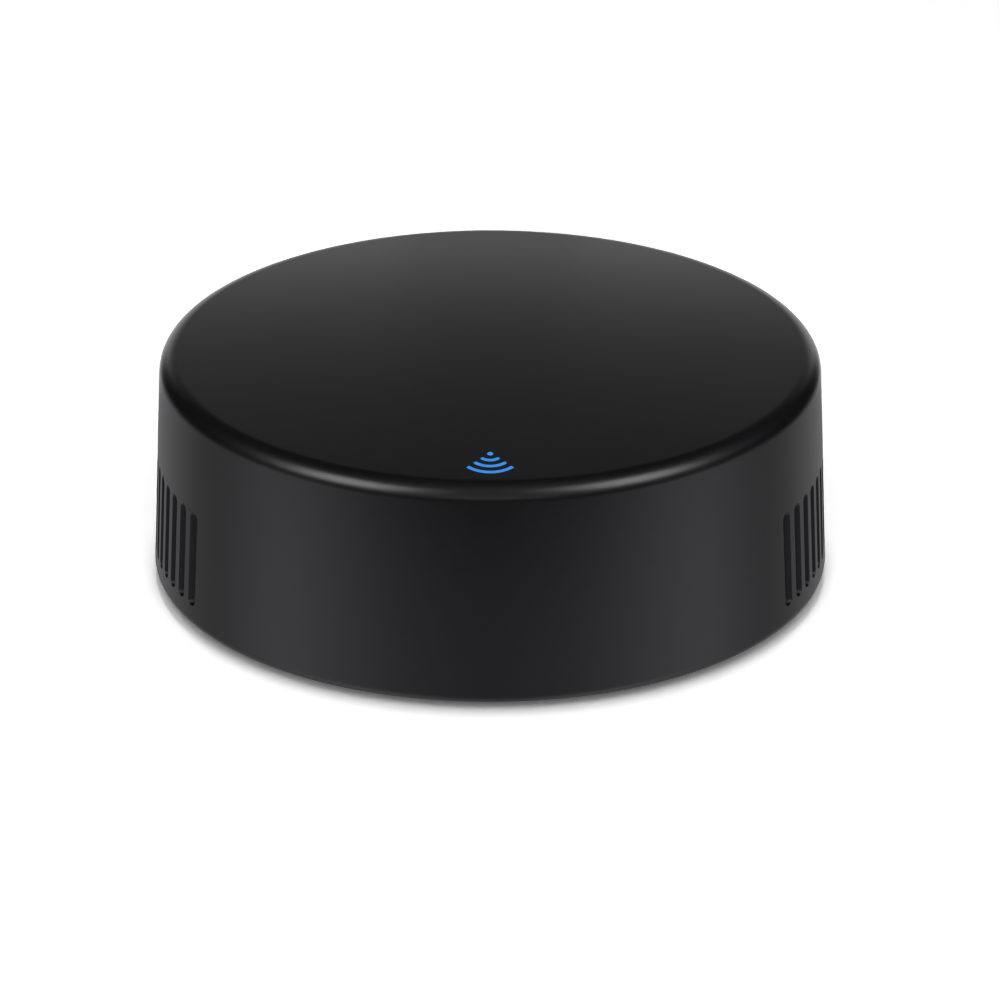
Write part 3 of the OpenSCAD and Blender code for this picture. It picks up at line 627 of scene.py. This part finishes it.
def makeShell(cfg, slots, boss, guide, port, hole, mark):
    body = bmesh.new()
    loft(body, [ringAt(circleOutline(r, cfg["segments"]), z) for r, z in shellProfile(cfg)])
    shell = meshObject("hubShell", body)
    combine(shell, shellRibs(cfg, boss, guide, hole), "UNION")
    combine(shell, shellCuts(cfg, slots, boss, guide, port, hole), "DIFFERENCE")
    windows = bmesh.new()
    heights = (ceiling - cfg["over"], shellTop + cfg["over"])
    markPrism(windows, mark, cfg, [(z, mark["gap"]) for z in heights])
    combine(shell, meshObject("windows", windows), "DIFFERENCE")
    smoothOver(shell, cfg["sharpAngle"])
    return dress(shell, "shell", "housing", "top_cover")


def makeGuide(cfg, guide, mark):
    # a plate under the top, with the dot and the arcs standing up to the surface
    low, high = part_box("light_guide")
    bm = bmesh.new()
    blockAt(bm, (low.x, low.y, ceiling - guide["plate"]), (high.x, high.y, ceiling))
    markPrism(bm, mark, cfg, ((ceiling - guide["plate"] / 2, 0), (shellTop - mark["gap"], 0),
                              (shellTop, -mark["gap"])))
    obj = meshObject("litMark", bm)
    smoothOver(obj, guide["sharpAngle"])
    return dress(obj, "lit_guide", "housing", "light_guide")


makeShell(shellSettings, slotSettings, bossSettings, guideSettings, portSettings, holeSettings, markSettings)
print("stage: shell made")
makeGuide(shellSettings, guideSettings, markSettings)
print("stage: light guide made")


# pieces that keep the form of their solids, with their sharp edges eased

softSettings = {
    "sharpAngle": 38,        # degrees, over which an edge is eased
    "flatAngle": 0.5,        # degrees, under which two faces become one
    "steps": 2,
    "weld": 0.001 * mm,
    "moving": ("reset_button", "reset_plunger"),
    # how wide an edge is eased in each finish
    "widths": {
        "base": 0.25 * mm, "foot_rubber": 0.25 * mm, "button_plastic": 0.12 * mm,
        "dark_plastic": 0.08 * mm, "circuit_board": 0.06 * mm, "module_board": 0.05 * mm,
        "chip_ceramic": 0.05 * mm, "screw_steel": 0.08 * mm, "tin_plate": 0.05 * mm,
        "can_aluminium": 0.1 * mm, "contact_gold": 0.02 * mm, "emitter_lens": 0.12 * mm,
        "receiver_lens": 0.12 * mm, "lamp_body": 0.08 * mm,
    },
}


def pieceName(nodeName):
    # main_board becomes mainBoard
    first, *others = nodeName.split("_")
    return first + "".join(word.capitalize() for word in others)


def makeEased(cfg, nodeName):
    node = frame["nodes"][nodeName]
    bm = bmesh.new()
    bm.from_mesh(node.data)
    bm.transform(node.matrix_world)
    bmesh.ops.remove_doubles(bm, verts=bm.verts, dist=cfg["weld"])
    bmesh.ops.dissolve_limit(bm, angle_limit=math.radians(cfg["flatAngle"]), verts=bm.verts, edges=bm.edges)
    obj = meshObject(pieceName(nodeName), bm)
    ease = obj.modifiers.new("ease", "BEVEL")
    ease.width = cfg["widths"][slotOf[nodeName]]
    ease.segments = cfg["steps"]
    ease.limit_method = "ANGLE"
    ease.angle_limit = math.radians(cfg["sharpAngle"])
    smoothOver(obj, cfg["sharpAngle"])
    return dress(obj, slotOf[nodeName], "button" if nodeName in cfg["moving"] else "housing", nodeName)


for nodeName in frame["nodes"]:
    if nodeName not in ("top_cover", "light_guide"):
        makeEased(softSettings, nodeName)
print("stage: eased pieces made")


# surroundings

roomSettings = {
    "floorSize": 6.0,
    "floorAlbedo": 0.5,      # of the floor as other surfaces see it
    "floorGain": 1.66,       # of the floor as the camera sees it, so that open floor is white
    "floorGlow": 0.14,       # light that the shadow keeps
    "deepGlow": 0.02,        # and what it keeps under the hub, where the glow is dimmed into a painted shadow
    "deepEdge": (28 * mm, 32.6 * mm),     # where the one turns into the other: the edge of the painted shadow
    "farWhite": (0.1, 0.25),              # where the floor turns into the white surroundings
    "upperGrey": 0.015,                   # of the studio above the horizon
    # the lit table in gloss: azimuth from the front, brightness, blue, and how far it reaches
    "table": ((0, 0.60, 1.10, 80 * mm), (31, 0.96, 1.08, 100 * mm), (56, 1.66, 1.06, 130 * mm),
              (76, 2.02, 1.04, 160 * mm), (95, 0.88, 1.04, 160 * mm), (111, 0.38, 1.04, 120 * mm),
              (129, 0.56, 1.03, 130 * mm), (180, 0.46, 1.03, 150 * mm)),
    "tableEdge": (0.7, 1.3),              # where it fades out, as shares of its reach
    "footShade": (28 * mm, 34 * mm),      # where it fades in round the foot of the hub, as painted shade on the reflection
    "footDepth": 0.35,                    # what is left of it under the hub, in the painted shade
}


def angleRamp(tree, source, stops):
    # a ramp over 0 to 180 degrees through (angle, red, green, blue) stops
    ramp = addNode(tree, "ShaderNodeValToRGB")
    elements = ramp.color_ramp.elements
    while len(elements) < len(stops):
        elements.new(0.5)
    for element, (angle, *colour) in zip(elements, stops):
        element.position = angle / 180
        element.color = (*colour, 1)
    tree.links.new(source, ramp.inputs[0])
    return ramp.outputs[0]


def mathOf(tree, operation, first, second=None):
    node = addNode(tree, "ShaderNodeMath", operation=operation)
    for socket, value in zip(node.inputs, (first, second)):
        if isinstance(value, bpy.types.NodeSocket):
            tree.links.new(value, socket)
        elif value is not None:
            socket.default_value = value
    return node.outputs[0]


def fadeBetween(tree, source, start, end, fromValue, toValue):
    fade = addNode(tree, "ShaderNodeMapRange", interpolation_type="SMOOTHSTEP")
    for socket, value in zip(("From Min", "From Max", "To Min", "To Max"), (start, end, fromValue, toValue)):
        fade.inputs[socket].default_value = value
    tree.links.new(source, fade.inputs["Value"])
    return fade.outputs["Result"]


def azimuthShare(tree, vector):
    # angle from the front to either side, as a share of half a turn, and the height
    parts = addNode(tree, "ShaderNodeSeparateXYZ")
    tree.links.new(vector, parts.inputs[0])
    turn = mathOf(tree, "ARCTAN2", mathOf(tree, "ABSOLUTE", parts.outputs["X"]),
                  mathOf(tree, "MULTIPLY", parts.outputs["Y"], -1))
    return mathOf(tree, "DIVIDE", turn, math.pi), parts.outputs["Z"]


def placeAndAway(tree):
    # the place on the floor, and its distance from the middle of the hub
    place = addNode(tree, "ShaderNodeTexCoord").outputs["Object"]
    length = addNode(tree, "ShaderNodeVectorMath", operation="LENGTH")
    tree.links.new(place, length.inputs[0])
    return place, length.outputs["Value"]


def tableReach(tree, cfg):
    # how much of the lit table gloss sees at each place of the floor, with painted shade round the foot of
    # the hub
    place, away = placeAndAway(tree)
    share, _ = azimuthShare(tree, place)
    farthest = max(reach for angle, value, blue, reach in cfg["table"])
    reaches = angleRamp(tree, share, [(angle,) + (reach / farthest,) * 3
                                      for angle, value, blue, reach in cfg["table"]])
    far = mathOf(tree, "DIVIDE", away, mathOf(tree, "MULTIPLY", reaches, farthest))
    fade = fadeBetween(tree, far, *cfg["tableEdge"], 1, 0)
    # painted shade: the reflection is dimmed round the foot of the hub by distance from its middle
    shade = fadeBetween(tree, away, *cfg["footShade"], cfg["footDepth"], 1)
    return mathOf(tree, "MULTIPLY", fade, shade)


def chooseShader(tree, condition, otherwise, chosen):
    # the chosen one as far as the condition holds
    pick = addNode(tree, "ShaderNodeMixShader")
    for socket, source in zip(pick.inputs, (condition, otherwise, chosen)):
        tree.links.new(source, socket)
    return pick.outputs[0]


def makeFloor(cfg):
    # the camera sees it white with the shadow, deepened by a painted shadow under the hub; to gloss it is a
    # window on the world's lit table
    bm = bmesh.new()
    half = cfg["floorSize"] / 2
    corners = ((-half, -half), (half, -half), (half, half), (-half, half))
    bm.faces.new([bm.verts.new(corner) for corner in ringAt(corners, 0)])
    floor = meshObject("floor", bm)
    mat = bpy.data.materials.new("whiteFloor")
    mat.use_nodes = True
    tree = mat.node_tree
    tree.nodes.clear()
    path = addNode(tree, "ShaderNodeLightPath")
    plain = addNode(tree, "ShaderNodeBsdfDiffuse")
    plain.inputs["Color"].default_value = (cfg["floorAlbedo"],) * 3 + (1,)
    bright = addNode(tree, "ShaderNodeBsdfDiffuse")
    bright.inputs["Color"].default_value = (cfg["floorGain"],) * 3 + (1,)
    _, away = placeAndAway(tree)
    glow = addNode(tree, "ShaderNodeEmission")
    # the glow is dimmed by distance from the hub's middle: a painted shadow on the floor under the hub
    tree.links.new(fadeBetween(tree, away, *cfg["deepEdge"], cfg["deepGlow"], cfg["floorGlow"]),
                   glow.inputs["Strength"])
    both = addNode(tree, "ShaderNodeAddShader")
    tree.links.new(bright.outputs[0], both.inputs[0])
    tree.links.new(glow.outputs[0], both.inputs[1])
    white = addNode(tree, "ShaderNodeEmission")
    farShare = fadeBetween(tree, away, *cfg["farWhite"], 0, 1)
    shown = chooseShader(tree, farShare, both.outputs[0], white.outputs[0])
    through = addNode(tree, "ShaderNodeBsdfTransparent")
    tree.links.new(tableReach(tree, cfg), through.inputs["Color"])
    mirrored = mathOf(tree, "MAXIMUM", path.outputs["Is Glossy Ray"], path.outputs["Is Transmission Ray"])
    seen = chooseShader(tree, mirrored, plain.outputs[0], through.outputs[0])
    seen = chooseShader(tree, path.outputs["Is Camera Ray"], seen, shown)
    out = addNode(tree, "ShaderNodeOutputMaterial")
    tree.links.new(seen, out.inputs["Surface"])
    floor.data.materials.append(mat)


def makeWorld(cfg):
    # white to the camera, a dark studio above the horizon, and the lit table below it
    world = bpy.data.worlds.new("room")
    bpy.context.scene.world = world
    world.use_nodes = True
    tree = world.node_tree
    share, height = azimuthShare(tree, addNode(tree, "ShaderNodeTexCoord").outputs["Generated"])
    brightest = max(value * blue for angle, value, blue, reach in cfg["table"])
    table = addNode(tree, "ShaderNodeBackground")
    table.inputs["Strength"].default_value = brightest
    colour = angleRamp(tree, share, [(angle, value / brightest, value / brightest, value * blue / brightest)
                                     for angle, value, blue, reach in cfg["table"]])
    tree.links.new(colour, table.inputs["Color"])
    studio = tree.nodes["Background"]
    studio.inputs["Color"].default_value = (cfg["upperGrey"],) * 3 + (1,)
    white = addNode(tree, "ShaderNodeBackground")
    white.inputs["Color"].default_value = (1, 1, 1, 1)
    path = addNode(tree, "ShaderNodeLightPath")
    room = chooseShader(tree, mathOf(tree, "GREATER_THAN", height, 0), table.outputs[0], studio.outputs[0])
    seen = chooseShader(tree, path.outputs["Is Camera Ray"], room, white.outputs[0])
    tree.links.new(seen, tree.nodes["World Output"].inputs["Surface"])


def makeLamp(name, cfg):
    # a soft box with a given brightness of its face, aimed at the hub
    width, height = cfg["size"]
    data = bpy.data.lights.new(name, "AREA")
    data.shape = "RECTANGLE"
    data.size, data.size_y = width, height
    data.energy = cfg["radiance"] * width * height * math.pi
    lamp = bpy.data.objects.new(name, data)
    azimuth, rise = math.radians(cfg["azimuth"]), math.radians(cfg["elevation"])
    away = Vector((math.sin(azimuth) * math.cos(rise), -math.cos(azimuth) * math.cos(rise), math.sin(rise)))
    lamp.location = Vector((0, 0, cfg["aimHeight"])) + away * cfg["distance"]
    lamp.rotation_euler = away.to_track_quat("Z", "Y").to_euler()
    lamp.visible_camera = False
    lamp.visible_diffuse = cfg["matt"]
    lamp.visible_glossy = not cfg["matt"]
    bpy.context.scene.collection.objects.link(lamp)


lampSettings = {
    # two that light the floor: one overhead, and one in front that reaches under the edge
    "overhead": {"azimuth": 180, "elevation": 87.5, "distance": 1.0, "aimHeight": 0.012,
                 "size": (0.18, 0.18), "radiance": 31, "matt": True},
    "frontFill": {"azimuth": 0, "elevation": 50, "distance": 1.0, "aimHeight": 0.012,
                  "size": (0.7, 0.73), "radiance": 2.75, "matt": True},
    # two boxes for the streaks along the rounded edge, and a weaker card between them
    "leftBox": {"azimuth": -53, "elevation": 35, "distance": 0.8, "aimHeight": 0.012,
                "size": (0.44, 0.46), "radiance": 12, "matt": False},
    "rightBox": {"azimuth": 55, "elevation": 40, "distance": 0.8, "aimHeight": 0.012,
                 "size": (0.42, 0.46), "radiance": 12, "matt": False},
    "frontCard": {"azimuth": 0, "elevation": 17, "distance": 0.8, "aimHeight": 0.012,
                  "size": (0.5, 0.15), "radiance": 2.4, "matt": False},
    # the low card behind that shines on the rear of the top
    "backCard": {"azimuth": 180, "elevation": 0, "distance": 0.051, "aimHeight": 0.018,
                 "size": (0.11, 0.038), "radiance": 0.97, "matt": False},
    "backCardLeft": {"azimuth": -150, "elevation": 0, "distance": 0.062, "aimHeight": 0.018,
                     "size": (0.05, 0.0375), "radiance": 0.36, "matt": False},
    "backCardRight": {"azimuth": 150, "elevation": 0, "distance": 0.062, "aimHeight": 0.018,
                      "size": (0.05, 0.0375), "radiance": 0.36, "matt": False},
}
makeFloor(roomSettings)
makeWorld(roomSettings)
for lampName, lampValues in lampSettings.items():
    makeLamp(lampName, lampValues)
bpy.context.scene.view_settings.view_transform = "Standard"
print("stage: lights set")
